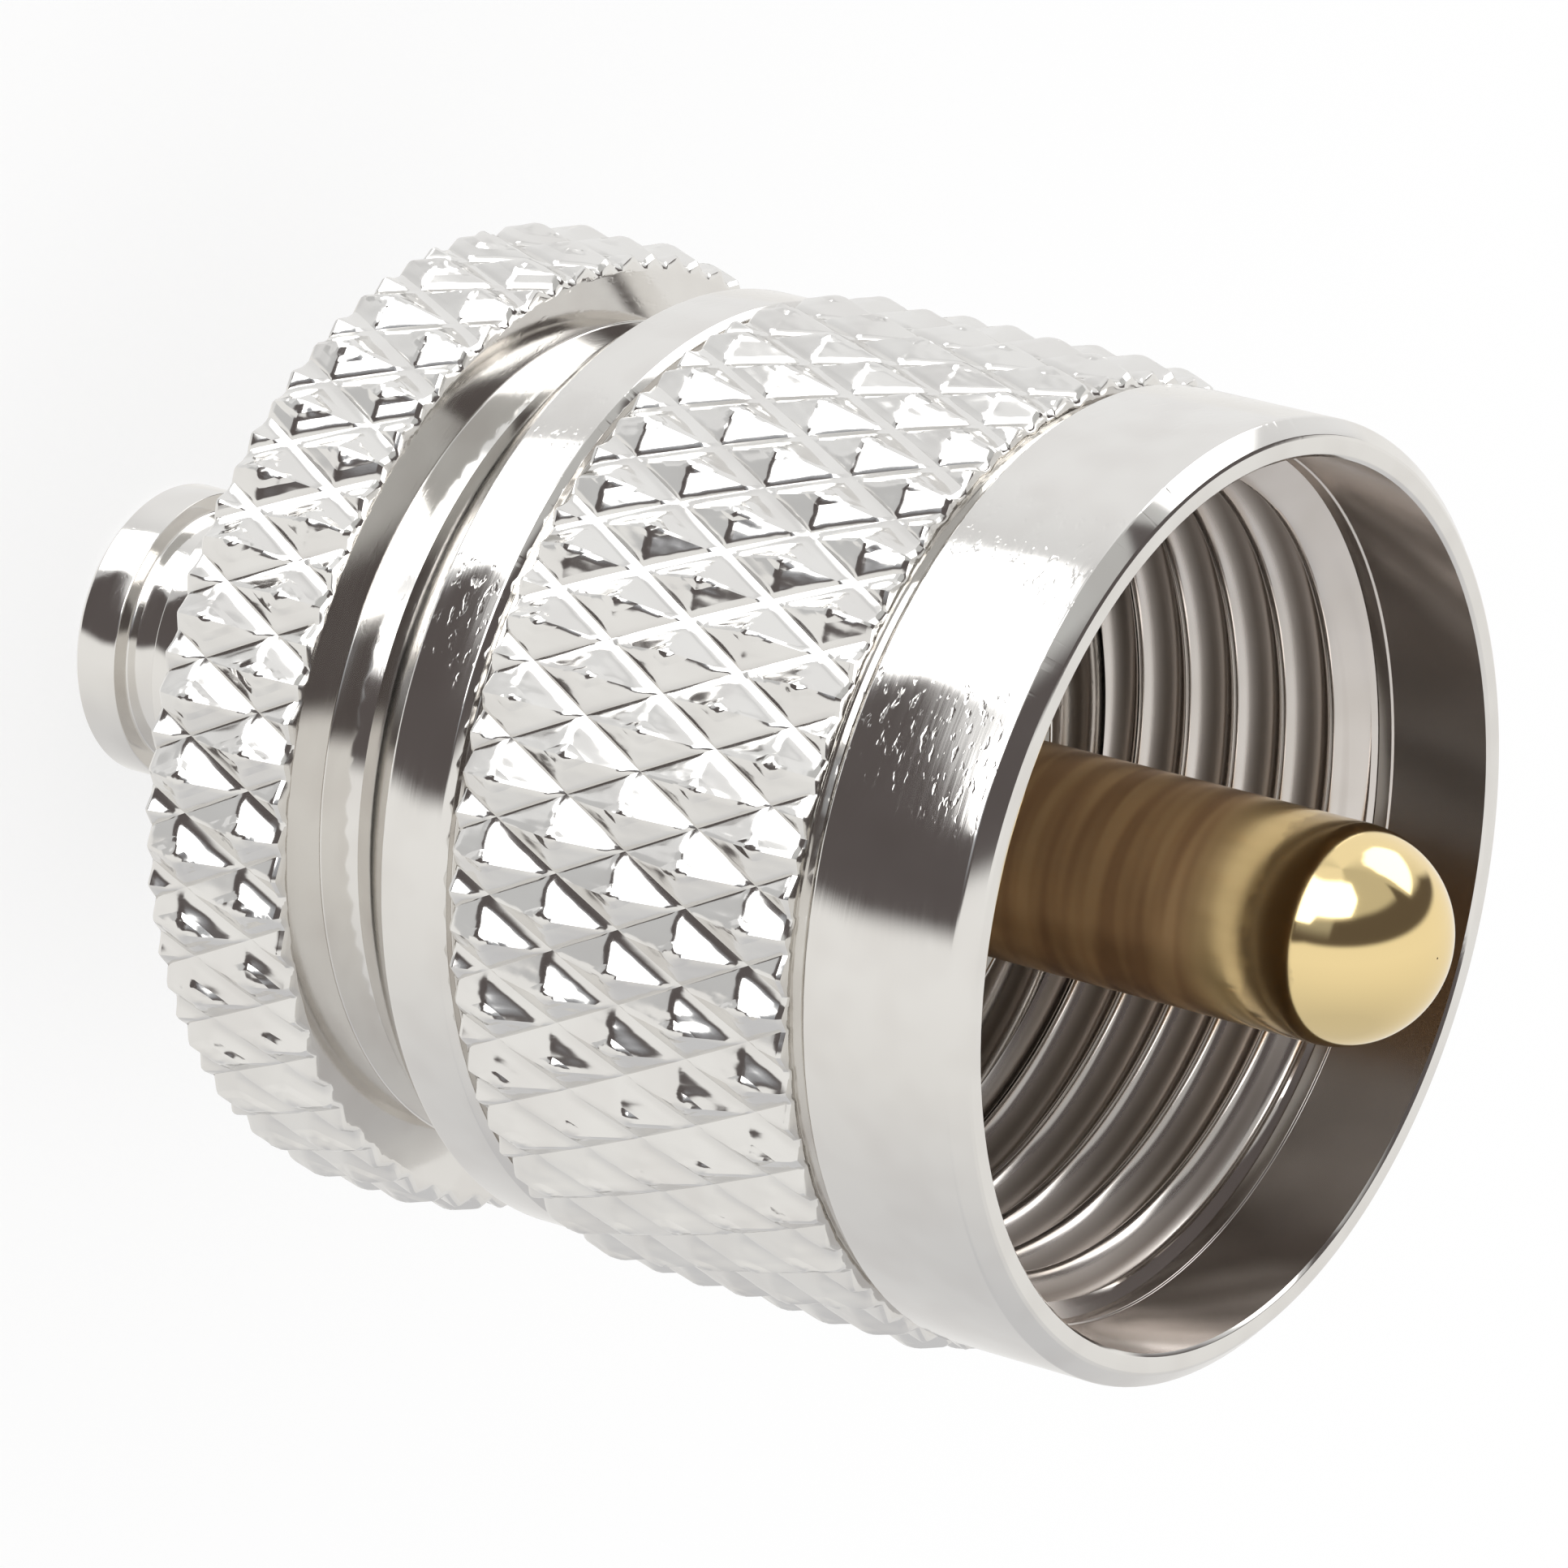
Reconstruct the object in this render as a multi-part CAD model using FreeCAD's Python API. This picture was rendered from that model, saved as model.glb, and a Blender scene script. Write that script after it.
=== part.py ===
import FreeCAD, Part
import math
import os

# UHF cable plug, millimetres. Z is the plug's axis, the mating end is up,
# and z = 0 is the rear end of the cable barrel, on which the plug stands.

# Coupling nut. Its thread's crests are the size that the rest is built on.
THREAD_MINOR_R = 7.42
THREAD_LEAD = 0.42
NUT_WALL = 1.36
NUT_REAR_BAND = 1.55
NUT_BEVEL_LENGTH = 1.25
NUT_BEVEL_DEPTH = 0.9
NUT_COLLAR = 3.45
NUT_EDGE = 0.12
RIM_WALL = 0.68
RIM_CHAMFER_DEPTH = 0.32
RIM_CHAMFER_LENGTH = 0.22
MOUTH_DEPTH = 2.05
MOUTH_RELIEF = 0.3
MOUTH_EDGE = 0.08
RUNNING_CLEARANCE = 0.1
NUT_FLOAT = 0.5

# Diamond knurl, the same on the coupling nut and on the grip ring: whole rows
# of half diamonds, with a shorter row at each end
KNURL_COLUMNS = 39
KNURL_HALF_PITCH = 1.4
KNURL_RISE = 0.34
KNURL_CUT = 0.12
KNURL_END = 0.82
KNURL_RUNOUT = 0.2
KNURL_RUNOUT_DEPTH = 0.05
NUT_KNURL_ROWS = 4
RING_KNURL_ROWS = 1
RING_STEP = 0.08

# Body: shoulder, neck and slotted front shell
SHOULDER_SETBACK = 0.13
SHOULDER_LENGTH = 0.95
NECK_SLACK = 0.22
NECK_LENGTH = 6.0
SHELL_WALL = 2.0
SHELL_EDGE = 0.2
SHELL_SLOT_COUNT = 4
SHELL_SLOT_WIDTH = 1.6
SHELL_SLOT_DEPTH = 0.8

# Cable barrel: a tube with round grooves that a crimped sleeve bites into
CABLE_BORE_R = 1.6
BARREL_WALL = 1.2
BARREL_LENGTH = 5.6
BARREL_EDGE = 0.12
BORE_WALL = 0.9
GROOVE_COUNT = 2
GROOVE_WIDTH = 0.9
GROOVE_LAND = 1.0
GROOVE_DEPTH = 0.35
HUB_WALL = 0.4
HUB_LENGTH = 1.2
HUB_EDGE = 0.3

# Split retaining ring between neck and nut
RETAINER_THICKNESS = 0.8
RETAINER_SEAT_DEPTH = 0.6
RETAINER_HEIGHT = 1.55
RETAINER_BITE = 0.7
RETAINER_SPLIT_DEG = 24.0
END_CLEARANCE = 0.05
POCKET_CLEARANCE = 0.3

# Centre pin
PIN_R = 2.0
PIN_LENGTH = 12.0
PIN_SHANK_STEP = 0.2
PIN_COLLAR_STEP = 0.7
PIN_COLLAR = 0.8
PIN_TAIL_WALL = 0.75
PIN_TAIL_LENGTH = 4.0
PIN_CUP_R = 0.55
PIN_CUP_DEPTH = 2.6

# Insulators, pressed into the body from the front
BEAD_RECESS = 0.3
BEAD_WALL = 0.7
WIRE_HOLE_R = 0.75
WIRE_HOLE_LENGTH = 0.6
SEAT_CLEARANCE = 0.02

# Radii, worked out from the sizes above
band_r = THREAD_MINOR_R + NUT_WALL
mouth_r = band_r - RIM_WALL
root_r = band_r - KNURL_CUT
runout_r = root_r - KNURL_RUNOUT_DEPTH
ring_root_r = root_r + RING_STEP
ring_side_r = ring_root_r - KNURL_RUNOUT_DEPTH
bevel_r = band_r - NUT_BEVEL_DEPTH
shoulder_r = bevel_r - SHOULDER_SETBACK
neck_r = THREAD_MINOR_R - NECK_SLACK
nut_bore_r = neck_r + RUNNING_CLEARANCE
pocket_r = neck_r - RETAINER_BITE
seat_r = nut_bore_r + RETAINER_SEAT_DEPTH
front_bead_r = neck_r - SHELL_WALL
pin_shank_r = PIN_R + PIN_SHANK_STEP
pin_collar_r = pin_shank_r + PIN_COLLAR_STEP
pin_tail_r = PIN_CUP_R + PIN_TAIL_WALL
rear_bead_r = pin_collar_r + BEAD_WALL
hub_r = rear_bead_r + HUB_WALL
barrel_r = CABLE_BORE_R + BARREL_WALL

# Levels along the axis
ring_rear_z = BARREL_LENGTH + HUB_LENGTH
ring_front_z = ring_rear_z + RING_KNURL_ROWS * KNURL_HALF_PITCH + 2 * KNURL_END
nut_rear_z = ring_front_z + SHOULDER_LENGTH
shell_face_z = nut_rear_z + NECK_LENGTH
nut_knurl_z = nut_rear_z + NUT_BEVEL_LENGTH + NUT_REAR_BAND
nut_knurl_top_z = nut_knurl_z + NUT_KNURL_ROWS * KNURL_HALF_PITCH + 2 * KNURL_END
collar_z = nut_knurl_top_z + KNURL_RUNOUT
rim_z = collar_z + NUT_COLLAR
bead_rear_z = BARREL_LENGTH + BORE_WALL
tail_end_z = bead_rear_z + WIRE_HOLE_LENGTH
front_seat_z = tail_end_z + PIN_TAIL_LENGTH
collar_top_z = front_seat_z + PIN_COLLAR
pin_root_z = shell_face_z - BEAD_RECESS
pin_tip_z = pin_root_z + PIN_LENGTH
retainer_z = nut_rear_z + RETAINER_HEIGHT
retainer_top_z = retainer_z + RETAINER_THICKNESS

AXIS_START = FreeCAD.Vector(0, 0, 0)
AXIS = FreeCAD.Vector(0, 0, 1)
SEW_TOLERANCE = 1e-4


def point(radius, height, angle=0.0):
    """A point at a radius, an angle in radians and a height."""
    return FreeCAD.Vector(radius * math.cos(angle), radius * math.sin(angle), height)


def outline(corners):
    """Straight edges through (radius, height) corners."""
    points = [point(radius, height) for radius, height in corners]
    return [Part.makeLine(start, end) for start, end in zip(points, points[1:])]


def turned(edges):
    """A solid of revolution from a closed half section."""
    section = Part.Face(Part.Wire(edges))
    return section.revolve(AXIS_START, AXIS, 360)


def turned_corners(corners):
    """A solid of revolution from the corners of its half section."""
    return turned(outline(corners + corners[:1]))


def on_groove(column, row):
    """Whether grooves cross at this column of this row, or a crest stands there."""
    return (column + row) % 2 == 1


def knurl_ring(groove_r, height, row):
    """A row's points round the axis: crests and groove crossings in turn."""
    crest_r = groove_r + KNURL_CUT + KNURL_RISE
    points = []
    for column in range(2 * KNURL_COLUMNS):
        radius = groove_r if on_groove(column, row) else crest_r
        points.append(point(radius, height, math.pi * column / KNURL_COLUMNS))
    return points


def facet(*corners):
    """A flat face with straight edges."""
    return Part.Face(Part.makePolygon([*corners, corners[0]]))


def whole_row(lower, upper, row):
    """Facets of the diamonds between two rows. Each cell is split along its groove."""
    faces = []
    for i, start in enumerate(lower):
        j = (i + 1) % len(lower)
        if on_groove(i, row):
            faces.append(facet(start, lower[j], upper[j]))
            faces.append(facet(start, upper[j], upper[i]))
        else:
            faces.append(facet(start, lower[j], upper[i]))
            faces.append(facet(lower[j], upper[j], upper[i]))
    return faces


def cut_row(kept, beyond, row):
    """Facets from the last row to the plane that cuts the diamonds off.

    Returns them with the points of the cut, on the cells' edges and grooves.
    """
    share = KNURL_END / KNURL_HALF_PITCH
    edges = [near + (far - near) * share for near, far in zip(kept, beyond)]
    faces = []
    cut = []
    for i in range(len(kept)):
        j = (i + 1) % len(kept)
        low, high = (i, j) if on_groove(i, row) else (j, i)
        groove = kept[low] + (beyond[high] - kept[low]) * share
        faces.append(facet(kept[low], edges[low], groove))
        faces.append(facet(kept[low], groove, edges[high], kept[high]))
        cut += [edges[i], groove]
    return faces, cut


def end_face(ring, radius):
    """The flat step between a knurl's last ring of points and a smaller circle."""
    polygon = Part.Wire(Part.makePolygon(ring + ring[:1]))
    circle = Part.Wire(Part.makeCircle(radius, point(0, ring[0].z)))
    return Part.makeFace([polygon, circle], "Part::FaceMakerBullseye")


def knurled(corners, groove_r, rear_z, rows):
    """A solid whose outside has a knurl with grooves at groove_r, from rear_z.

    Whole rows of half diamonds stand between two shorter ones. The corners
    run from the knurl's top, through the whole half section, back to the
    knurl's rear, at the radii of the grooves beside it.
    """
    first_z = rear_z + KNURL_END
    heights = [first_z + row * KNURL_HALF_PITCH for row in range(-1, rows + 2)]
    rings = [knurl_ring(groove_r, height, row) for row, height in enumerate(heights, -1)]
    rear_faces, rear_cut = cut_row(rings[1], rings[0], 0)
    top_faces, top_cut = cut_row(rings[-2], rings[-1], rows)
    faces = Part.Wire(outline(corners)).revolve(AXIS_START, AXIS, 360).Faces
    faces += rear_faces + top_faces
    for row in range(rows):
        faces += whole_row(rings[row + 1], rings[row + 2], row)
    faces.append(end_face(rear_cut, corners[-1][0]))
    faces.append(end_face(top_cut, corners[0][0]))
    shell = Part.Shell(faces)
    shell.sewShape(SEW_TOLERANCE)
    solid = Part.Solid(shell)
    if solid.Volume < 0:
        solid.reverse()
    return solid


def coupling_nut():
    """The nut: bevelled rear, knurl, plain collar, counterbored and threaded."""
    thread_z = rim_z - MOUTH_DEPTH - MOUTH_RELIEF
    seat_rear_z = retainer_z - END_CLEARANCE
    seat_front_z = retainer_top_z + END_CLEARANCE
    corners = [
        (runout_r, nut_knurl_top_z),
        (runout_r, collar_z),
        (band_r - NUT_EDGE, collar_z),
        (band_r, collar_z + NUT_EDGE),
        (band_r, rim_z - RIM_CHAMFER_LENGTH),
        (band_r - RIM_CHAMFER_DEPTH, rim_z),
        (mouth_r + MOUTH_EDGE, rim_z),
        (mouth_r, rim_z - MOUTH_EDGE),
        (mouth_r, thread_z),
        (THREAD_MINOR_R, thread_z - THREAD_LEAD),
        (THREAD_MINOR_R, shell_face_z - THREAD_LEAD),
        (nut_bore_r, shell_face_z - 2 * THREAD_LEAD),
        (nut_bore_r, seat_front_z),
        (seat_r, seat_front_z),
        (seat_r, seat_rear_z),
        (nut_bore_r, seat_rear_z),
        (nut_bore_r, nut_rear_z),
        (bevel_r, nut_rear_z),
        (band_r, nut_rear_z + NUT_BEVEL_LENGTH),
        (band_r, nut_knurl_z - KNURL_RUNOUT - NUT_EDGE),
        (band_r - NUT_EDGE, nut_knurl_z - KNURL_RUNOUT),
        (runout_r, nut_knurl_z - KNURL_RUNOUT),
        (runout_r, nut_knurl_z),
    ]
    return knurled(corners, root_r, nut_knurl_z, NUT_KNURL_ROWS)


def barrel_corners():
    """The barrel's outside from the hub down to its rear end."""
    corners = [(barrel_r, BARREL_LENGTH)]
    for groove in reversed(range(GROOVE_COUNT)):
        rear_z = GROOVE_LAND + groove * (GROOVE_LAND + GROOVE_WIDTH)
        front_z = rear_z + GROOVE_WIDTH
        floor_r = barrel_r - GROOVE_DEPTH
        corners += [(barrel_r, front_z), (floor_r, front_z)]
        corners += [(floor_r, rear_z), (barrel_r, rear_z)]
    corners += [(barrel_r, BARREL_EDGE), (barrel_r - BARREL_EDGE, 0)]
    return corners


def connector_body():
    """The body: slotted front shell, neck, shoulder, knurled grip and barrel."""
    pocket_rear_z = retainer_z - END_CLEARANCE
    pocket_front_z = retainer_top_z + NUT_FLOAT + END_CLEARANCE
    corners = [
        (ring_side_r, ring_front_z),
        (shoulder_r, ring_front_z),
        (shoulder_r, nut_rear_z),
        (neck_r, nut_rear_z),
        (neck_r, pocket_rear_z),
        (pocket_r, pocket_rear_z),
        (pocket_r, pocket_front_z),
        (neck_r, pocket_front_z),
        (neck_r, shell_face_z - SHELL_EDGE),
        (neck_r - SHELL_EDGE, shell_face_z),
        (front_bead_r, shell_face_z),
        (front_bead_r, collar_top_z),
        (rear_bead_r, collar_top_z),
        (rear_bead_r, bead_rear_z),
        (CABLE_BORE_R, bead_rear_z),
        (CABLE_BORE_R, BARREL_EDGE),
        (CABLE_BORE_R + BARREL_EDGE, 0),
    ]
    corners += list(reversed(barrel_corners()))
    corners += [
        (hub_r - HUB_EDGE, BARREL_LENGTH),
        (hub_r, BARREL_LENGTH + HUB_EDGE),
        (hub_r, ring_rear_z),
        (ring_side_r, ring_rear_z),
    ]
    solid = knurled(corners, ring_root_r, ring_rear_z, RING_KNURL_ROWS)
    slot_inner_r = front_bead_r - SHELL_EDGE
    corner = FreeCAD.Vector(slot_inner_r, -SHELL_SLOT_WIDTH / 2, shell_face_z - SHELL_SLOT_DEPTH)
    for slot in range(SHELL_SLOT_COUNT):
        cutter = Part.makeBox(neck_r, SHELL_SLOT_WIDTH, 2 * SHELL_SLOT_DEPTH, corner)
        cutter.rotate(AXIS_START, AXIS, slot * 360 / SHELL_SLOT_COUNT)
        solid = solid.cut(cutter)
    return solid.Solids[0]


def retaining_ring():
    """The split ring that turns with the nut and floats on the neck."""
    inner_r = pocket_r + POCKET_CLEARANCE
    outer_r = seat_r - RUNNING_CLEARANCE
    corners = [
        (inner_r, retainer_z),
        (outer_r, retainer_z),
        (outer_r, retainer_top_z),
        (inner_r, retainer_top_z),
    ]
    section = Part.Face(Part.Wire(outline(corners + corners[:1])))
    section.rotate(AXIS_START, AXIS, RETAINER_SPLIT_DEG / 2)
    return section.revolve(AXIS_START, AXIS, 360 - RETAINER_SPLIT_DEG)


def centre_pin():
    """The gilt pin: round tip, wider shank and collar in the beads, wire cup."""
    dome_z = pin_tip_z - PIN_R
    diagonal = PIN_R * math.sqrt(0.5)
    dome = Part.Arc(point(0, pin_tip_z), point(diagonal, dome_z + diagonal), point(PIN_R, dome_z))
    shaft = outline([
        (PIN_R, dome_z),
        (PIN_R, pin_root_z),
        (pin_shank_r, pin_root_z),
        (pin_shank_r, collar_top_z),
        (pin_collar_r, collar_top_z),
        (pin_collar_r, front_seat_z),
        (pin_tail_r, front_seat_z),
        (pin_tail_r, tail_end_z),
        (PIN_CUP_R, tail_end_z),
        (PIN_CUP_R, tail_end_z + PIN_CUP_DEPTH),
        (0, tail_end_z + PIN_CUP_DEPTH + PIN_CUP_R),
        (0, pin_tip_z),
    ])
    return turned([dome.toShape()] + shaft)


def front_insulator():
    """The white bead round the pin, set just below the shell's face."""
    return turned_corners([
        (pin_shank_r + SEAT_CLEARANCE, collar_top_z),
        (front_bead_r - SEAT_CLEARANCE, collar_top_z),
        (front_bead_r - SEAT_CLEARANCE, pin_root_z),
        (pin_shank_r + SEAT_CLEARANCE, pin_root_z),
    ])


def rear_insulator():
    """The bead behind the pin's collar, with a small hole for the wire."""
    outer_r = rear_bead_r - SEAT_CLEARANCE
    return turned_corners([
        (WIRE_HOLE_R, bead_rear_z),
        (outer_r, bead_rear_z),
        (outer_r, collar_top_z),
        (pin_collar_r + SEAT_CLEARANCE, collar_top_z),
        (pin_collar_r + SEAT_CLEARANCE, front_seat_z),
        (pin_tail_r + SEAT_CLEARANCE, front_seat_z),
        (pin_tail_r + SEAT_CLEARANCE, tail_end_z),
        (WIRE_HOLE_R, tail_end_z),
    ])


PIECES = {
    "coupling_nut": coupling_nut,
    "retaining_ring": retaining_ring,
    "connector_body": connector_body,
    "centre_pin": centre_pin,
    "front_insulator": front_insulator,
    "rear_insulator": rear_insulator,
}

os.makedirs("parts", exist_ok=True)
for name, make in PIECES.items():
    shape = make()
    shape.exportStep("parts/" + name + ".step")
    print(name, shape.ShapeType, shape.isValid(), round(shape.Volume, 2), len(shape.Faces))
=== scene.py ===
import math

import bpy
import numpy as np
from mathutils import Matrix, Vector


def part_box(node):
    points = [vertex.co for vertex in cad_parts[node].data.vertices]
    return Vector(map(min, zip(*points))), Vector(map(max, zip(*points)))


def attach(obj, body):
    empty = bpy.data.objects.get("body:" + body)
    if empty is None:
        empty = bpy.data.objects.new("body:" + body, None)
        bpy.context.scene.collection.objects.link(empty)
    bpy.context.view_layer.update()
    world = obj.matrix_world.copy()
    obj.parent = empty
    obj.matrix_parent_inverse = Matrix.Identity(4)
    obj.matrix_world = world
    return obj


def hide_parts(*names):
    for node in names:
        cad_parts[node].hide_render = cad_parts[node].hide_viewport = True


# A UHF cable plug that stands on its cable barrel, mating end up.
# Lengths below are millimetres; Blender gets metres.

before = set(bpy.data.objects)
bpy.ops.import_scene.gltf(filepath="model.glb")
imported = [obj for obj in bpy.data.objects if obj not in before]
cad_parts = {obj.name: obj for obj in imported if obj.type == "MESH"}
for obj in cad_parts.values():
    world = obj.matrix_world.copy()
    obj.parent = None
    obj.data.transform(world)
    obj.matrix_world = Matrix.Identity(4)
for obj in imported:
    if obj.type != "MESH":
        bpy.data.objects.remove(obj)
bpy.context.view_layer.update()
MM = 0.001

# Levels along the axis, taken from the CAD nodes
nut_low, nut_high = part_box("coupling_nut")
body_low, body_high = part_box("connector_body")
pin_low, pin_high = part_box("centre_pin")
NUT_REAR = nut_low.z / MM
RIM = nut_high.z / MM
SHELL_FACE = body_high.z / MM
PIN_TIP = pin_high.z / MM

# Nut: radii and lengths that the solids share, apart from the thread
CREST_R = 7.42
ROOT_R = 7.96
THREAD_PITCH = 25.4 / 24
THREAD_LEAD = 0.42
THREAD_FADE = 0.5
THREAD_STEPS = 22
BAND_R = 8.78
MOUTH_R = 8.10
MOUTH_DEPTH = 2.35
MOUTH_STEP = 0.04
BEVEL_R = 7.88
BEVEL_LENGTH = 1.25
REAR_BAND = 1.55
RUNOUT_R = 8.52
RUNOUT = 0.2
NUT_BORE_R = 7.3
RIM_EDGE = 0.34
COLLAR_EDGE = 0.18
BAND_EDGE = 0.12
OVERLAP = 0.02

# Retaining ring's seat in the nut and its pocket in the body
SEAT_R = 7.9
SEAT_BOTTOM = 12.34 - 0.05
SEAT_TOP = 13.14 + 0.05
POCKET_R = 6.5
POCKET_TOP = 13.14 + 0.55

# Body
SHOULDER_R = 7.75
NECK_R = 7.2
FRONT_BEAD_R = 5.2
REAR_BEAD_R = 3.6
BEAD_SEAT = 11.9
BORE_END = 6.5
CABLE_BORE_R = 1.6
HUB_R = 4.0
HUB_LENGTH = 1.2
HUB_EDGE = 0.3
BARREL_R = 2.8
BARREL_LENGTH = 5.6
BARREL_EDGE = 0.12
BARREL_GROOVES = ((1.0, 1.9), (2.9, 3.8))
GROOVE_DEPTH = 0.35
SLOT_Z = SHELL_FACE - 0.8
SLOT_HALF = 0.8
SHELL_EDGE = 0.2
TOOTH_FILLET = 0.06
TOOTH_ROOT = SLOT_Z - 0.05
TOOTH_STEPS = 36

# Pin
PIN_R = 2.0
DOME_STEPS = 32
SHANK_R = 2.2
SHANK_TOP = 16.49
PIN_COLLAR_R = 2.9
PIN_COLLAR_REAR = 11.1
TAIL_R = 1.3
TAIL_END = 7.1
CUP_R = 0.55
CUP_EDGE = 9.7
CUP_POINT = 10.25

# Knurl: whole rows of half diamonds, with a shorter row at each end
COLUMNS = 39
HALF_PITCH = 1.4
KNURL_END = 0.82
KNURL_ROOT = 8.66
RING_ROOT = 8.74
RING_SIDE_R = 8.69
NUT_ROWS = 4
RING_ROWS = 1
NUT_SEED = 3
RING_SEED = 5
KNURL_STEPS = 12
TIP = 0.45
TIP_SOFTNESS = 0.03
END_ROUND = 0.16
END_STEPS = (0.0, 0.2, 0.6)
GROOVE_FLOOR = 0.11
GROOVE_STEP = 0.03
GROOVE_STEP_SLOPE = 3
GROOVE_SOFTNESS = 0.04
STEEP_SLOPE = 0.60

# Sides of a groove: distance from its edge and height there
WIDE_SIDE = (
    (0.0, 0.0), (0.06, 0.005), (0.12, 0.013), (0.18, 0.025), (0.23, 0.050), (0.28, 0.085), (1.28, 0.785),
)
MIDDLE_SIDE = ((0.0, 0.0), (0.03, 0.004), (0.16, 0.041), (0.24, 0.083), (1.24, 0.783))
NARROW_SIDE = ((0.0, 0.0), (1.3, 0.70))

# Where both wheels bit harder: the middle, and the cosines at which each begins to
PRESSED_AT = math.radians(-150)
FIRST_PRESSED = 0.56
SECOND_PRESSED = 0.62
PRESSED_FADE = 0.15

# Uneven metal on the tips: patch size in columns, and relief
PATCH = 0.45
PATCH_RELIEF = 0.006
PATCH_WAVES = 10
WORN_DEPTH = 0.2

COLUMN = math.pi * (KNURL_ROOT + TIP / 2) / COLUMNS
GROOVE_SPACING = 2 / math.hypot(1 / COLUMN, 1 / HALF_PITCH)
RING_REAR = BARREL_LENGTH + HUB_LENGTH
RING_FRONT = RING_REAR + RING_ROWS * HALF_PITCH + 2 * KNURL_END
NUT_KNURL = NUT_REAR + BEVEL_LENGTH + REAR_BAND
NUT_KNURL_TOP = NUT_KNURL + NUT_ROWS * HALF_PITCH + 2 * KNURL_END

KNURL_SEGMENTS = 2 * COLUMNS * KNURL_STEPS
SEGMENTS = KNURL_SEGMENTS // 6
SHARP = math.radians(26)


def angles(count):
    """Angles round the axis. The knurl's columns start at +X, as in the solids."""
    return np.arange(count) * (2 * math.pi / count)


def ring(radius, height, count=SEGMENTS):
    """A ring of points; radius and height are numbers or arrays."""
    phi = angles(count)
    radius = np.broadcast_to(np.asarray(radius, float), (count,))
    height = np.broadcast_to(np.asarray(height, float), (count,))
    return np.stack([radius * np.cos(phi), radius * np.sin(phi), height], axis=1)


def filleted(corners, steps=4):
    """(radius, height, fillet) corners as points, each fillet a small arc."""
    points = []
    last = len(corners) - 1
    for i, (radius, height, fillet) in enumerate(corners):
        here = Vector((radius, height))
        if fillet == 0 or i in (0, last):
            points.append((radius, height))
            continue
        before = Vector(corners[i - 1][:2]) - here
        after = Vector(corners[i + 1][:2]) - here
        half = before.angle(after) / 2
        reach = min(fillet / math.tan(half), 0.48 * before.length, 0.48 * after.length)
        start = here + before.normalized() * reach
        end = here + after.normalized() * reach
        for k in range(steps + 1):
            t = k / steps
            bezier = start * (1 - t) ** 2 + here * (2 * t * (1 - t)) + end * t ** 2
            points.append((bezier.x, bezier.y))
    return points


def rings_of(corners, steps=4):
    """Plain rings along a filleted profile."""
    return [ring(radius, height) for radius, height in filleted(corners, steps)]


def lower_of(first, second, softness):
    """The lower of two heights, rounded where they meet."""
    near = np.clip(1 - np.abs(first - second) / softness, 0, 1)
    return np.minimum(first, second) - softness * near ** 2 / 4


def groove_sides(place, swept_side):
    """Height between grooves that lie at whole numbers: one side swept, one steep."""
    ahead = (place - np.floor(place)) * GROOVE_SPACING
    behind = GROOVE_SPACING - ahead
    swept = np.interp(ahead, *zip(*swept_side))
    steep = np.minimum(behind * GROOVE_STEP_SLOPE, GROOVE_STEP) + behind * STEEP_SLOPE
    return lower_of(swept, steep, GROOVE_SOFTNESS)


def knurl_height(columns, rows):
    """How far the knurl stands out. Grooves cross at odd sums of column and row.

    Both wheels bit harder round PRESSED_AT and left wider grooves there.
    """
    pressing = np.cos(columns * math.pi / COLUMNS - PRESSED_AT)

    def pressed(place, plain_side, start):
        plain = groove_sides(place, plain_side)
        wide = groove_sides(place, WIDE_SIDE)
        return plain + (wide - plain) * np.clip((pressing - start) / PRESSED_FADE, 0, 1)

    first = pressed((columns + rows + 1) / 2, NARROW_SIDE, FIRST_PRESSED)
    second = pressed((columns - rows + 1) / 2, MIDDLE_SIDE, SECOND_PRESSED)
    return GROOVE_FLOOR + lower_of(first, second, GROOVE_SOFTNESS)


def soft_noise(columns, rows, rng, size, amount):
    """Smooth random relief over the knurl, its patches about size columns wide."""
    total = 0
    for _ in range(PATCH_WAVES):
        around = round(rng.normal(0, COLUMNS / size)) / COLUMNS
        along = rng.normal(0, 1 / size)
        phase = rng.uniform(0, 2 * math.pi)
        total = total + np.cos(math.pi * (columns * around + rows * along) + phase)
    return total * amount / math.sqrt(PATCH_WAVES / 2)


def knurl_rings(groove_r, rear_z, rows, seed):
    """Rings of the knurl, and for each gap between rings the row it lies in."""
    rng = np.random.default_rng(seed)
    column = np.arange(KNURL_SEGMENTS) / KNURL_STEPS
    first_row = -KNURL_END / HALF_PITCH
    last_row = rows - first_row
    half = KNURL_STEPS // 2
    whole = [k / KNURL_STEPS for k in range(-half, rows * KNURL_STEPS + half + 1)]
    edge = [step * END_ROUND / HALF_PITCH for step in END_STEPS]
    levels = [first_row + step for step in edge] + whole + [last_row - step for step in reversed(edge)]
    level_grid = np.array(levels)[:, None]
    column_grid = column[None, :]
    height = knurl_height(column_grid, level_grid)
    worn = np.clip((height - GROOVE_FLOOR) / WORN_DEPTH, 0, 1)
    height = height + soft_noise(column_grid, level_grid, rng, PATCH, PATCH_RELIEF) * worn
    height = lower_of(height, TIP, TIP_SOFTNESS)
    end = np.minimum(level_grid - first_row, last_row - level_grid) * HALF_PITCH
    rounding = np.clip(end / END_ROUND, 0, 1)
    height = np.maximum(height - END_ROUND * (1 - np.sqrt(1 - (1 - rounding) ** 2)), 0)
    rings = []
    for level, relief in zip(levels, height):
        rings.append(ring(groove_r + relief, rear_z + KNURL_END + level * HALF_PITCH, KNURL_SEGMENTS))
    rows_between = [math.floor((a + b) / 2 + 1e-9) for a, b in zip(levels, levels[1:])]
    return rings, rows_between


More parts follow.
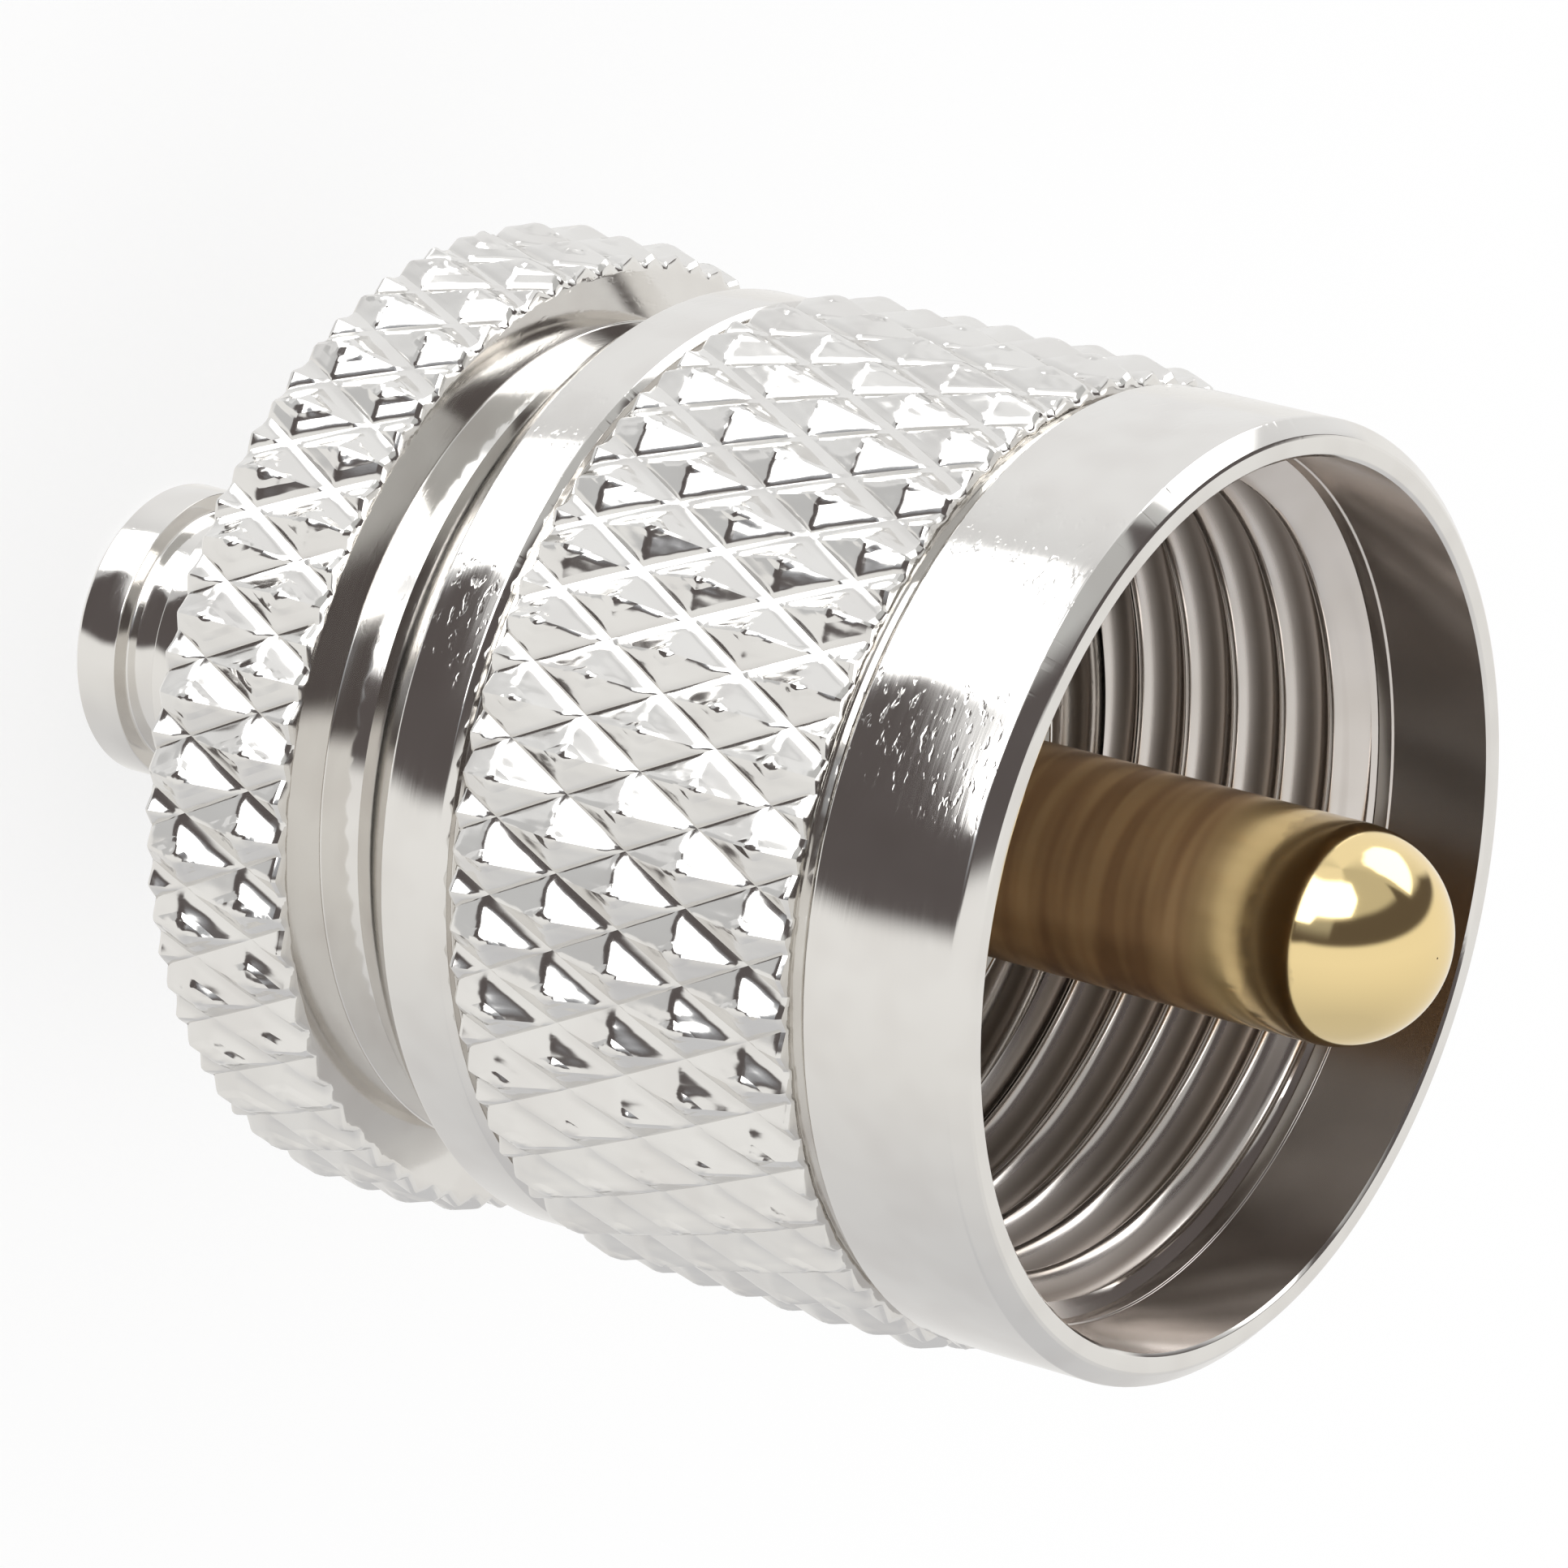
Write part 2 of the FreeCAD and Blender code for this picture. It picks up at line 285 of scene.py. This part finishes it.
def strip(lower, upper, base_low, base_up, split_row=None):
    """Faces between two rings. split_row names the knurl's row, to follow its grooves."""
    count_low = len(lower)
    count_up = len(upper)
    if count_low == count_up:
        i = np.arange(count_low)
        j = (i + 1) % count_low
        a, b, c, d = base_low + i, base_low + j, base_up + j, base_up + i
        if split_row is None:
            return np.stack([a, b, c, d], 1).tolist()
        rising = (i // KNURL_STEPS + split_row) % 2 == 1
        one = np.stack([a, b, np.where(rising, c, d)], 1)
        two = np.stack([np.where(rising, a, b), c, d], 1)
        return one.tolist() + two.tolist()
    faces = []
    few, many, base_few, base_many = count_low, count_up, base_low, base_up
    if count_low > count_up:
        few, many, base_few, base_many = count_up, count_low, base_up, base_low
    ratio = many // few
    for i in range(few):
        fine = [base_many + (i * ratio + k) % many for k in range(ratio + 1)]
        coarse = [base_few + i, base_few + (i + 1) % few]
        if count_low < count_up:
            faces.append(coarse + fine[::-1])
        else:
            faces.append(fine + coarse[::-1])
    return faces


def skin(sections):
    """A closed shell through rings. Sections are (rings, knurl rows or None, material)."""
    rings = []
    split = []
    finish = []
    for section, rows, material in sections:
        if rings:
            split.append(None)
            finish.append(material)
        split += rows if rows else [None] * (len(section) - 1)
        finish += [material] * (len(section) - 1)
        rings += section
    rings.append(rings[0])
    split.append(None)
    finish.append(0)
    bases = np.cumsum([0] + [len(points) for points in rings])
    bases[len(rings) - 1] = 0
    faces = []
    face_materials = []
    for k, row in enumerate(split):
        band = strip(rings[k], rings[k + 1], bases[k], bases[k + 1], row)
        faces += band
        face_materials += [finish[k]] * len(band)
    return np.concatenate(rings[:-1]), faces, face_materials


def shell_tooth(turn):
    """One of the four parts of the front shell, between two slots with parallel sides."""
    profile = filleted([
        (NECK_R, TOOTH_ROOT, 0),
        (NECK_R, SHELL_FACE - SHELL_EDGE, TOOTH_FILLET),
        (NECK_R - SHELL_EDGE, SHELL_FACE, TOOTH_FILLET),
        (FRONT_BEAD_R, SHELL_FACE, TOOTH_FILLET),
        (FRONT_BEAD_R, TOOTH_ROOT, 0),
    ])
    vertices = []
    for radius, height in profile:
        margin = math.asin(SLOT_HALF / radius)
        for angle in np.linspace(margin, math.pi / 2 - margin, TOOTH_STEPS + 1) + turn:
            vertices.append((radius * math.cos(angle), radius * math.sin(angle), height))
    count = len(profile)
    width = TOOTH_STEPS + 1
    faces = [
        [p * width for p in range(count)],
        [p * width + TOOTH_STEPS for p in reversed(range(count))],
    ]
    for p in range(count):
        here = p * width
        there = (p + 1) % count * width
        for step in range(TOOTH_STEPS):
            faces.append([here + step, here + step + 1, there + step + 1, there + step])
    return np.array(vertices), faces, [0] * len(faces)


def joined(shells):
    """Several shells as one list of vertices, faces and materials."""
    vertices = []
    faces = []
    face_materials = []
    base = 0
    for points, polygons, finish in shells:
        vertices.append(points)
        faces += [[base + corner for corner in polygon] for polygon in polygons]
        face_materials += finish
        base += len(points)
    return np.concatenate(vertices), faces, face_materials


def made(name, shell, materials):
    """A visible piece from a shell in millimetres."""
    vertices, faces, face_materials = shell
    mesh = bpy.data.meshes.new(name)
    mesh.from_pydata((vertices * MM).tolist(), [], faces)
    for material in materials:
        mesh.materials.append(material)
    mesh.polygons.foreach_set("material_index", face_materials)
    mesh.shade_smooth()
    mesh.set_sharp_from_angle(angle=SHARP)
    piece = bpy.data.objects.new(name, mesh)
    bpy.context.scene.collection.objects.link(piece)
    return piece


def thread_rings(top_z, bottom_z):
    """The nut's right-hand thread, cut outwards from the crest's bore."""
    phi = angles(SEGMENTS)
    rings = []
    lead_bottom = top_z - THREAD_LEAD
    count = int((top_z - bottom_z) / THREAD_PITCH * THREAD_STEPS)
    for level in np.linspace(top_z, bottom_z, count + 1):
        lead = np.clip((level - lead_bottom) / THREAD_LEAD, 0, 1)
        base = CREST_R + (MOUTH_R - CREST_R) * lead
        turn = (level / THREAD_PITCH - phi / (2 * math.pi)) % 1.0
        valley = (1 - np.cos(2 * math.pi * turn)) / 2
        fade = np.clip((level - bottom_z) / THREAD_FADE, 0, 1)
        groove = CREST_R + (ROOT_R - CREST_R) * valley * fade
        rings.append(ring(np.maximum(base, groove), level))
    return rings


def make_nut(outside, inside, grip):
    thread_top = RIM - MOUTH_DEPTH
    thread_bottom = SHELL_FACE - THREAD_LEAD
    collar_z = NUT_KNURL_TOP + RUNOUT
    band_front = NUT_KNURL - RUNOUT
    knurl, rows = knurl_rings(KNURL_ROOT, NUT_KNURL, NUT_ROWS, NUT_SEED)
    front = rings_of([
        (RUNOUT_R, NUT_KNURL_TOP + OVERLAP, 0),
        (RUNOUT_R, collar_z, 0.02),
        (BAND_R - 0.17, collar_z, 0.02),
        (BAND_R, collar_z + COLLAR_EDGE, 0.06),
        (BAND_R, RIM - 0.30, 0.10),
        (BAND_R - 0.28, RIM - 0.03, 0.05),
        (BAND_R - RIM_EDGE, RIM, 0.03),
        (MOUTH_R + 0.06, RIM, 0.04),
        (MOUTH_R, RIM - 0.06, 0.04),
    ])
    wall = rings_of([
        (MOUTH_R, RIM - 0.12, 0),
        (MOUTH_R, thread_top + 0.3, 0.02),
        (MOUTH_R - MOUTH_STEP, thread_top + 0.28, 0.02),
        (MOUTH_R - MOUTH_STEP, thread_top + 0.01, 0.0),
    ])
    thread = thread_rings(thread_top, thread_bottom)
    rear = rings_of([
        (NUT_BORE_R, thread_bottom - THREAD_LEAD, 0),
        (NUT_BORE_R, SEAT_TOP, 0.02),
        (SEAT_R, SEAT_TOP, 0.05),
        (SEAT_R, SEAT_BOTTOM, 0.05),
        (NUT_BORE_R, SEAT_BOTTOM, 0.02),
        (NUT_BORE_R, NUT_REAR, 0.06),
    ])
    back = rings_of([
        (NUT_BORE_R + 0.08, NUT_REAR, 0),
        (BEVEL_R, NUT_REAR, 0.05),
        (BAND_R, NUT_REAR + BEVEL_LENGTH, 0.10),
        (BAND_R, band_front - BAND_EDGE, 0.06),
        (BAND_R - BAND_EDGE, band_front, 0.03),
        (RUNOUT_R, band_front, 0.02),
        (RUNOUT_R, NUT_KNURL - OVERLAP, 0),
    ])
    sections = [(knurl, rows, 2), (front, None, 0)]
    sections += [(part, None, 1) for part in (wall, thread, rear)]
    sections += [(back, None, 0)]
    return made("nut_plated", skin(sections), [outside, inside, grip])


def make_body(outside, inside, grip):
    knurl, rows = knurl_rings(RING_ROOT, RING_REAR, RING_ROWS, RING_SEED)
    front = rings_of([
        (RING_SIDE_R, RING_FRONT, 0),
        (SHOULDER_R, RING_FRONT, 0.04),
        (SHOULDER_R, NUT_REAR, 0.06),
        (NECK_R, NUT_REAR, 0.04),
        (NECK_R, SEAT_BOTTOM, 0.03),
        (POCKET_R, SEAT_BOTTOM, 0.05),
        (POCKET_R, POCKET_TOP, 0.05),
        (NECK_R, POCKET_TOP, 0.03),
        (NECK_R, SLOT_Z, 0.02),
        (FRONT_BEAD_R, SLOT_Z, 0.02),
    ])
    bore = rings_of([
        (FRONT_BEAD_R, SLOT_Z - 0.1, 0),
        (FRONT_BEAD_R, BEAD_SEAT, 0),
        (REAR_BEAD_R, BEAD_SEAT, 0),
        (REAR_BEAD_R, BORE_END, 0),
        (CABLE_BORE_R, BORE_END, 0.05),
        (CABLE_BORE_R, BARREL_EDGE, 0.05),
        (CABLE_BORE_R + BARREL_EDGE, 0, 0.04),
    ])
    barrel = [(BARREL_R - BARREL_EDGE, 0, 0.05), (BARREL_R, BARREL_EDGE, 0.05)]
    for low, high in BARREL_GROOVES:
        barrel += [
            (BARREL_R, low, 0.03),
            (BARREL_R - GROOVE_DEPTH, low, 0.06),
            (BARREL_R - GROOVE_DEPTH, high, 0.06),
            (BARREL_R, high, 0.03),
        ]
    rear = rings_of(barrel + [
        (BARREL_R, BARREL_LENGTH, 0.05),
        (HUB_R - HUB_EDGE, BARREL_LENGTH, 0.05),
        (HUB_R, BARREL_LENGTH + HUB_EDGE, 0.08),
        (HUB_R, RING_REAR, 0.05),
        (RING_SIDE_R, RING_REAR, 0.0),
    ])
    core = skin([(knurl, rows, 2), (front, None, 0), (bore, None, 1), (rear, None, 0)])
    teeth = [shell_tooth(quarter * math.pi / 2) for quarter in range(4)]
    return made("body_plated", joined([core, *teeth]), [outside, inside, grip])


def make_pin(gilt):
    dome_z = PIN_TIP - PIN_R
    rings = []
    for angle in np.linspace(0.01, math.pi / 2, DOME_STEPS):
        rings.append(ring(PIN_R * math.sin(angle), dome_z + PIN_R * math.cos(angle)))
    rings += rings_of([
        (PIN_R, dome_z - 0.05, 0),
        (PIN_R, SHANK_TOP, 0.03),
        (SHANK_R, SHANK_TOP, 0.03),
        (SHANK_R, BEAD_SEAT, 0.03),
        (PIN_COLLAR_R, BEAD_SEAT, 0.04),
        (PIN_COLLAR_R, PIN_COLLAR_REAR, 0.04),
        (TAIL_R, PIN_COLLAR_REAR, 0.04),
        (TAIL_R, TAIL_END, 0.04),
        (CUP_R, TAIL_END, 0.03),
        (CUP_R, CUP_EDGE, 0.05),
        (0.02, CUP_POINT, 0),
    ])
    return made("pin_gilt", skin([(rings, None, 0)]), [gilt])


class Nodes:
    """A short way to write a node tree."""

    def __init__(self, tree):
        self.tree = tree
        tree.nodes.clear()

    def add(self, kind, inputs=None, **settings):
        node = self.tree.nodes.new(kind)
        for key, value in settings.items():
            setattr(node, key, value)
        for key, value in (inputs or {}).items():
            socket = node.inputs[key]
            if isinstance(value, bpy.types.NodeSocket):
                self.tree.links.new(value, socket)
            else:
                socket.default_value = value
        return node

    def math(self, operation, first, second=None, third=None, clamp=False):
        values = (first, second, third)
        inputs = {i: value for i, value in enumerate(values) if value is not None}
        return self.add("ShaderNodeMath", inputs, operation=operation, use_clamp=clamp).outputs[0]

    def plus(self, first, second):
        return self.math("ADD", first, second)

    def times(self, first, second, clamp=False):
        return self.math("MULTIPLY", first, second, clamp=clamp)

    def below(self, mask):
        return self.math("SUBTRACT", 1.0, mask)

    def span(self, value, low, high, to_low=0.0, to_high=1.0):
        """A value's place between low and high, held at both ends."""
        inputs = {"Value": value, "From Min": low, "From Max": high, "To Min": to_low, "To Max": to_high}
        return self.add("ShaderNodeMapRange", inputs).outputs[0]

    def noise(self, place, scale, detail):
        inputs = {"Vector": place, "Scale": scale, "Detail": detail}
        return self.add("ShaderNodeTexNoise", inputs).outputs["Fac"]

    def vector(self, x, y, z):
        return self.add("ShaderNodeCombineXYZ", {0: x, 1: y, 2: z}).outputs[0]

    def mixed(self, base, colour, mask):
        """One colour laid over another."""
        return self.add("ShaderNodeMix", {0: mask, 6: base, 7: colour}, data_type="RGBA").outputs[2]

    def bump(self, height, distance):
        inputs = {"Height": height, "Strength": 1.0, "Distance": distance}
        return self.add("ShaderNodeBump", inputs).outputs[0]

    def ramp(self, value, stops):
        node = self.add("ShaderNodeValToRGB", {"Fac": value})
        ramp = node.color_ramp
        ramp.interpolation = "LINEAR"
        while len(ramp.elements) < len(stops):
            ramp.elements.new(0.5)
        for element, (position, colour) in zip(ramp.elements, stops):
            element.position = position
            element.color = colour if len(colour) == 4 else (*colour, 1)
        return node.outputs["Color"]

    def surface(self, tint, rough, bump, metallic):
        inputs = {"Base Color": tint, "Roughness": rough, "Normal": bump, "Metallic": metallic}
        shader = self.add("ShaderNodeBsdfPrincipled", inputs)
        self.add("ShaderNodeOutputMaterial", {"Surface": shader.outputs[0]})


# Relief of the materials is in thousandths of a millimetre, or ten times that
MICRON = 0.000001
TEN_MICRONS = 0.00001
MEAN_R = 9.0
WAVE_SCALE = 900.0
# Painted shade for the thread's roots deep in the nut
PAINTED_ROOT_SHADE = (0.27, 0.23, 0.20, 1)
ROOT_ROUGHNESS = 0.42
GOLD = (0.90, 0.71, 0.37, 1)
# Darker, redder gold for the pin's shaft: painted shade
SHADED_GOLD = (0.82, 0.58, 0.32)
DEEP_SHADED_GOLD = (0.55, 0.36, 0.20)
STAIN = (0.22, 0.15, 0.10, 1)


def new_material(name):
    material = bpy.data.materials.new(name)
    material.use_nodes = True
    return material, Nodes(material.node_tree)


def turned_coordinates(n):
    """Millimetres round the axis from the front, along it and out from it."""
    place = n.add("ShaderNodeTexCoord").outputs["Object"]
    x, y, z = n.add("ShaderNodeSeparateXYZ", {"Vector": place}).outputs
    arc = n.times(n.math("ARCTAN2", x, n.times(y, -1.0)), MEAN_R)
    radius = n.math("SQRT", n.plus(n.times(x, x), n.times(y, y)))
    return arc, n.times(z, 1000.0), n.times(radius, 1000.0), place


def metal(name, colour, dark_colour, roughness, waviness, lathe=0.0, scratches=0.0, crushing=0.0,
          rough_shaded_roots=False):
    """Plated metal with soft waviness, lathe lines and short scratches.

    Lines and scratches are strong only on the plain bands, at the widest
    radius. Crushing is for the tips of the knurl, and rough shaded roots
    make the thread's roots rougher, with painted shade darkening them.
    """
    material, n = new_material(name)
    arc, height, radius, place = turned_coordinates(n)
    waves = n.noise(place, WAVE_SCALE, 1.0)
    relief = n.times(waves, waviness)
    tint = n.ramp(waves, [(0.3, dark_colour), (0.6, colour)])
    rough = roughness
    if lathe:
        across = n.plus(height, radius)
        lines = n.noise(n.vector(n.times(arc, 0.22), n.times(across, 9.0), 0.0), 1.0, 3.0)
        marks = n.noise(n.vector(n.times(arc, 3.0), n.times(across, 6.0), 3.0), 1.0, 2.0)
        marks = n.times(n.span(marks, 0.57, 0.68), n.span(arc, 0.4, -1.2))
        cut = n.plus(n.times(lines, lathe), n.times(marks, -scratches))
        relief = n.plus(relief, n.times(cut, n.span(radius, 8.60, 8.74, to_low=0.15)))
        rough = n.span(lines, 0.3, 0.7, roughness * 0.8, roughness * 1.25)
    if crushing:
        crushed = n.times(n.noise(place, 4300.0, 0.0), n.span(radius, 9.02, 9.09))
        relief = n.plus(relief, n.times(crushed, crushing))
    # Painted shade: the thread's deep roots get a dark tint; they are also rougher
    if rough_shaded_roots:
        deep = n.span(radius, 7.52, 7.80, to_high=0.8)
        root_shade = n.times(deep, n.span(height, RIM - 2.72, RIM - 2.86))
        tint = n.mixed(tint, PAINTED_ROOT_SHADE, root_shade)
        rough = n.span(root_shade, 0.0, 0.3, roughness, ROOT_ROUGHNESS)
    n.surface(tint, rough, n.bump(relief, MICRON), 1.0)
    return material


def gilding(name):
    """Gold plate: polished on the round tip; rougher down the shaft, and darker and redder there by
    painted shade.
    """
    material, n = new_material(name)
    arc, height, radius, place = turned_coordinates(n)
    tip = n.span(height, RIM - 0.2, RIM + 1.0)
    waves = n.noise(place, WAVE_SCALE, 1.0)
    drawn = n.noise(n.vector(n.times(arc, 0.15), n.times(height, 5.0), 0.0), 1.0, 2.0)
    relief = n.plus(n.times(waves, 1.2), n.times(drawn, 0.25))
    # Painted shade: the shaft, deep in the shell, is tinted darker and redder in random bands
    bands = n.noise(n.vector(n.times(arc, 0.04), n.times(height, 2.2), 0.0), 1.0, 1.0)
    shaft = n.ramp(bands, [(0.38, DEEP_SHADED_GOLD), (0.62, SHADED_GOLD)])
    plate = n.mixed(shaft, GOLD, n.times(tip, 1.4, clamp=True))
    ragged = n.plus(height, n.times(n.noise(place, 2600.0, 2.0), 0.5))
    stain = n.times(n.span(ragged, RIM + 1.45, RIM + 1.6), n.span(ragged, RIM + 2.5, RIM + 2.35))
    tint = n.mixed(plate, STAIN, n.times(stain, 0.4))
    n.surface(tint, n.span(tip, 0.0, 1.0, 0.24, 0.10), n.bump(relief, MICRON), 1.0)
    return material


def plastic(name):
    material, n = new_material(name)
    grain = n.noise(n.add("ShaderNodeTexCoord").outputs["Object"], 2500.0, 3.0)
    tint = n.ramp(grain, [(0.3, (0.84, 0.84, 0.81)), (0.7, (0.92, 0.92, 0.90))])
    n.surface(tint, 0.45, n.bump(grain, TEN_MICRONS), 0.0)
    return material


nickel = metal(
    "nickel_plate", (0.80, 0.785, 0.76), (0.76, 0.74, 0.715), 0.085, 2.0, lathe=0.9, scratches=2.4,
)
nickel_grip = metal("nickel_grip", (0.82, 0.81, 0.79), (0.78, 0.765, 0.745), 0.12, 2.5, crushing=40.0)
# The bore's plate is darker and warmer than the outside: painted shade inside the nut
shaded_nickel_bore = metal("shaded_nickel_bore", (0.68, 0.64, 0.61), (0.64, 0.60, 0.565), 0.16, 0.5, rough_shaded_roots=True)
gilt = gilding("gold_plate")
bronze = metal(
    "spring_bronze", (0.62, 0.47, 0.30), (0.52, 0.38, 0.24), 0.22, 3.0, lathe=2.0, scratches=2.0,
)
ptfe = plastic("ptfe_white")

pieces = [
    (make_nut(nickel, shaded_nickel_bore, nickel_grip), "coupling_nut", "nut", "nickel"),
    (make_body(nickel, shaded_nickel_bore, nickel_grip), "connector_body", "plug", "nickel"),
    (make_pin(gilt), "centre_pin", "plug", "gold"),
]
for piece, node, body, slot_name in pieces:
    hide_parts(node)
    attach(piece, body)

for node, material in (("retaining_ring", bronze), ("front_insulator", ptfe), ("rear_insulator", ptfe)):
    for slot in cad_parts[node].material_slots:
        slot.material = material

# Camera: a long lens, tilted so that the axis runs right and a little down
FOCAL_PIXELS = 12000.0
PHOTO_PIXELS = 1932.0
SENSOR = 36.0
RIGHT = Vector((-0.2524, 0.5284, 0.8106))
DOWN = Vector((0.9676, 0.1378, 0.2114))
FORWARD = Vector((0.0, 0.8378, -0.5460))
RIM_FROM_CAMERA = Vector((8.11, 2.19, 171.7))
camera_data = bpy.data.cameras.new("camera")
camera_data.sensor_width = SENSOR
camera_data.lens = SENSOR * FOCAL_PIXELS / PHOTO_PIXELS
camera_data.clip_start = 0.01
camera_data.clip_end = 20.0
camera = bpy.data.objects.new("camera", camera_data)
offset = RIGHT * RIM_FROM_CAMERA.x + DOWN * RIM_FROM_CAMERA.y + FORWARD * RIM_FROM_CAMERA.z
turn = Matrix((RIGHT, -DOWN, -FORWARD)).transposed()
camera.matrix_world = Matrix.Translation((Vector((0, 0, RIM)) - offset) * MM) @ turn.to_4x4()
bpy.context.scene.collection.objects.link(camera)
bpy.context.scene.camera = camera


# What polished metal sees round the plug: directions and brightness
STUDIO_UP = (-0.9016, -0.4325, 0.0)
STUDIO_SIDE = (0.4325, -0.9016, 0.0)
TABLE = (0.94, 0.93, 0.91, 1)
TABLE_MIDDLE = (0.88, 0.87, 0.85, 1)
TABLE_BELOW = (0.66, 0.66, 0.67, 1)
ROOM = (0.115, 0.10, 0.097, 1)
KEY = (3.0, 3.0, 3.0, 1)
FILL = (2.6, 2.6, 2.6, 1)
WALL = (0.95, 0.95, 0.95, 1)
GREY_WALL = (0.75, 0.75, 0.75, 1)
DIM_WALL = (0.58, 0.58, 0.57, 1)
SIDE_WALL = (0.62, 0.62, 0.62, 1)
SIDE_ROOM = (0.42, 0.43, 0.45, 1)
WHITE = (1.0, 1.0, 1.0, 1.0)
FLOOR_HALF = 2
FLOOR_DROP = 0.00001
FLOOR_GLOW = 0.72

# Edges of the studio's parts: heading and rise in degrees, with how soft each edge is
HORIZON = (
    (-180, 5), (-90, 6), (-60, 8), (95, 8), (124, 1), (141, 7), (162, 7), (172, 5), (180, 5),
)
DARK_TOP = (
    (-180, 0), (-92, 2), (-70, 22), (-38, 30), (-30, 52), (-22, 38), (28, 38), (122, 30), (136, 44),
    (143, 48), (147, 0), (180, 0),
)
DIM_TOP = ((-180, 0), (136, 0), (141, 47), (158, 47), (166, 0), (180, 0))
SIDE_LOW = ((-180, 90), (50, 90), (70, 20), (108, 20), (118, 90), (180, 90))
KEY_LOW = (
    (-180, 36), (-174, 40), (-168, 90), (28, 90), (31, 54), (45, 38), (88, 36), (93, 27), (120, 24),
    (130, 47), (143, 46), (150, 37), (180, 36),
)
KEY_HIGH = ((-180, 62), (-165, 58), (28, 72), (60, 76), (90, 74), (120, 69), (150, 64), (180, 62))
FILL_LOW = ((-104, 90), (-96, 50), (-88, 30), (-42, 29), (-38, 50), (-36, 90))
FILL_HIGH = ((-104, 0), (-92, 60), (-75, 69), (-58, 70), (-42, 60), (-36, 0))
WALLS = (
    (0.0, GREY_WALL), (0.10, WALL), (0.24, WALL), (0.33, GREY_WALL), (0.41, DIM_WALL), (0.60, DIM_WALL),
    (0.66, WALL), (0.93, WALL), (1.0, GREY_WALL),
)
TABLE_TONES = ((0.0, TABLE_BELOW), (0.6, TABLE_MIDDLE), (0.85, TABLE))
TABLE_DEPTH = -70.0
ROOM_SOFTNESS = 4.0
SIDE_SOFTNESS = 9.0
HORIZON_SOFTNESS = 3.0
KEY_SOFTNESS = 1.0
FILL_SOFTNESS = 2.0
TOP_SOFTNESS = 3.0


def make_floor():
    mesh = bpy.data.meshes.new("floor")
    corners = [(x * FLOOR_HALF, y * FLOOR_HALF, 0) for x, y in ((-1, -1), (1, -1), (1, 1), (-1, 1))]
    mesh.from_pydata(corners, [], [(0, 1, 2, 3)])
    floor = bpy.data.objects.new("floor", mesh)
    floor.location.z = -FLOOR_DROP
    bpy.context.scene.collection.objects.link(floor)
    material, n = new_material("floor_white")
    shader = n.add("ShaderNodeBsdfDiffuse", {"Color": WHITE})
    glow = n.add("ShaderNodeEmission", {"Color": WHITE, "Strength": 1.0})
    seen = n.times(n.add("ShaderNodeLightPath").outputs["Is Camera Ray"], FLOOR_GLOW)
    mix = n.add("ShaderNodeMixShader", {0: seen, 1: shader.outputs[0], 2: glow.outputs[0]})
    n.add("ShaderNodeOutputMaterial", {"Surface": mix.outputs[0]})
    mesh.materials.append(material)
    floor.visible_glossy = False


def make_world():
    """White to the camera; to gloss, a table, a dim room and two softboxes.

    The room is set by height above the table, on which the plug would lie,
    and by the heading from the plug's axis, both in degrees.
    """
    world = bpy.data.worlds.new("studio")
    bpy.context.scene.world = world
    world.use_nodes = True
    n = Nodes(world.node_tree)
    direction = n.add("ShaderNodeTexCoord").outputs["Generated"]

    def along(axis):
        inputs = {0: direction, 1: axis}
        return n.add("ShaderNodeVectorMath", inputs, operation="DOT_PRODUCT").outputs["Value"]

    rise = n.times(n.math("ARCSINE", along(STUDIO_UP)), math.degrees(1))
    heading = n.math("ARCTAN2", along(STUDIO_SIDE), along((0, 0, 1)))
    heading = n.math("MULTIPLY_ADD", heading, 0.5 / math.pi, 0.5)

    def by_heading(edge):
        """A rise in degrees that changes with the heading."""
        greys = [((degrees + 180) / 360, (value / 90,) * 3) for degrees, value in edge]
        return n.times(n.ramp(heading, greys), 90.0)

    def above(edge, softness):
        """0 below an edge and 1 above it."""
        inputs = {
            "Value": n.math("SUBTRACT", rise, by_heading(edge)),
            "From Min": -softness,
            "From Max": softness,
        }
        return n.add("ShaderNodeMapRange", inputs, interpolation_type="SMOOTHSTEP").outputs[0]

    def between(low, high, softness):
        return n.times(above(low, softness), n.below(above(high, TOP_SOFTNESS)))

    walls = n.ramp(heading, WALLS)
    studio = n.mixed(walls, SIDE_WALL, n.below(above(DIM_TOP, ROOM_SOFTNESS)))
    room = n.mixed(ROOM, SIDE_ROOM, above(SIDE_LOW, SIDE_SOFTNESS))
    studio = n.mixed(studio, room, n.below(above(DARK_TOP, ROOM_SOFTNESS)))
    studio = n.mixed(studio, KEY, between(KEY_LOW, KEY_HIGH, KEY_SOFTNESS))
    studio = n.mixed(studio, FILL, between(FILL_LOW, FILL_HIGH, FILL_SOFTNESS))
    table = n.ramp(n.span(rise, TABLE_DEPTH, 0.0), TABLE_TONES)
    studio = n.mixed(studio, table, n.below(above(HORIZON, HORIZON_SOFTNESS)))
    glossy = n.add("ShaderNodeBackground", {"Color": studio, "Strength": 1.0})
    plain = n.add("ShaderNodeBackground", {"Color": WHITE, "Strength": 1.0})
    reflected = n.add("ShaderNodeLightPath").outputs["Is Glossy Ray"]
    mix = n.add("ShaderNodeMixShader", {0: reflected, 1: plain.outputs[0], 2: glossy.outputs[0]})
    n.add("ShaderNodeOutputWorld", {"Surface": mix.outputs[0]})


make_floor()
make_world()
bpy.context.scene.view_settings.view_transform = "Standard"
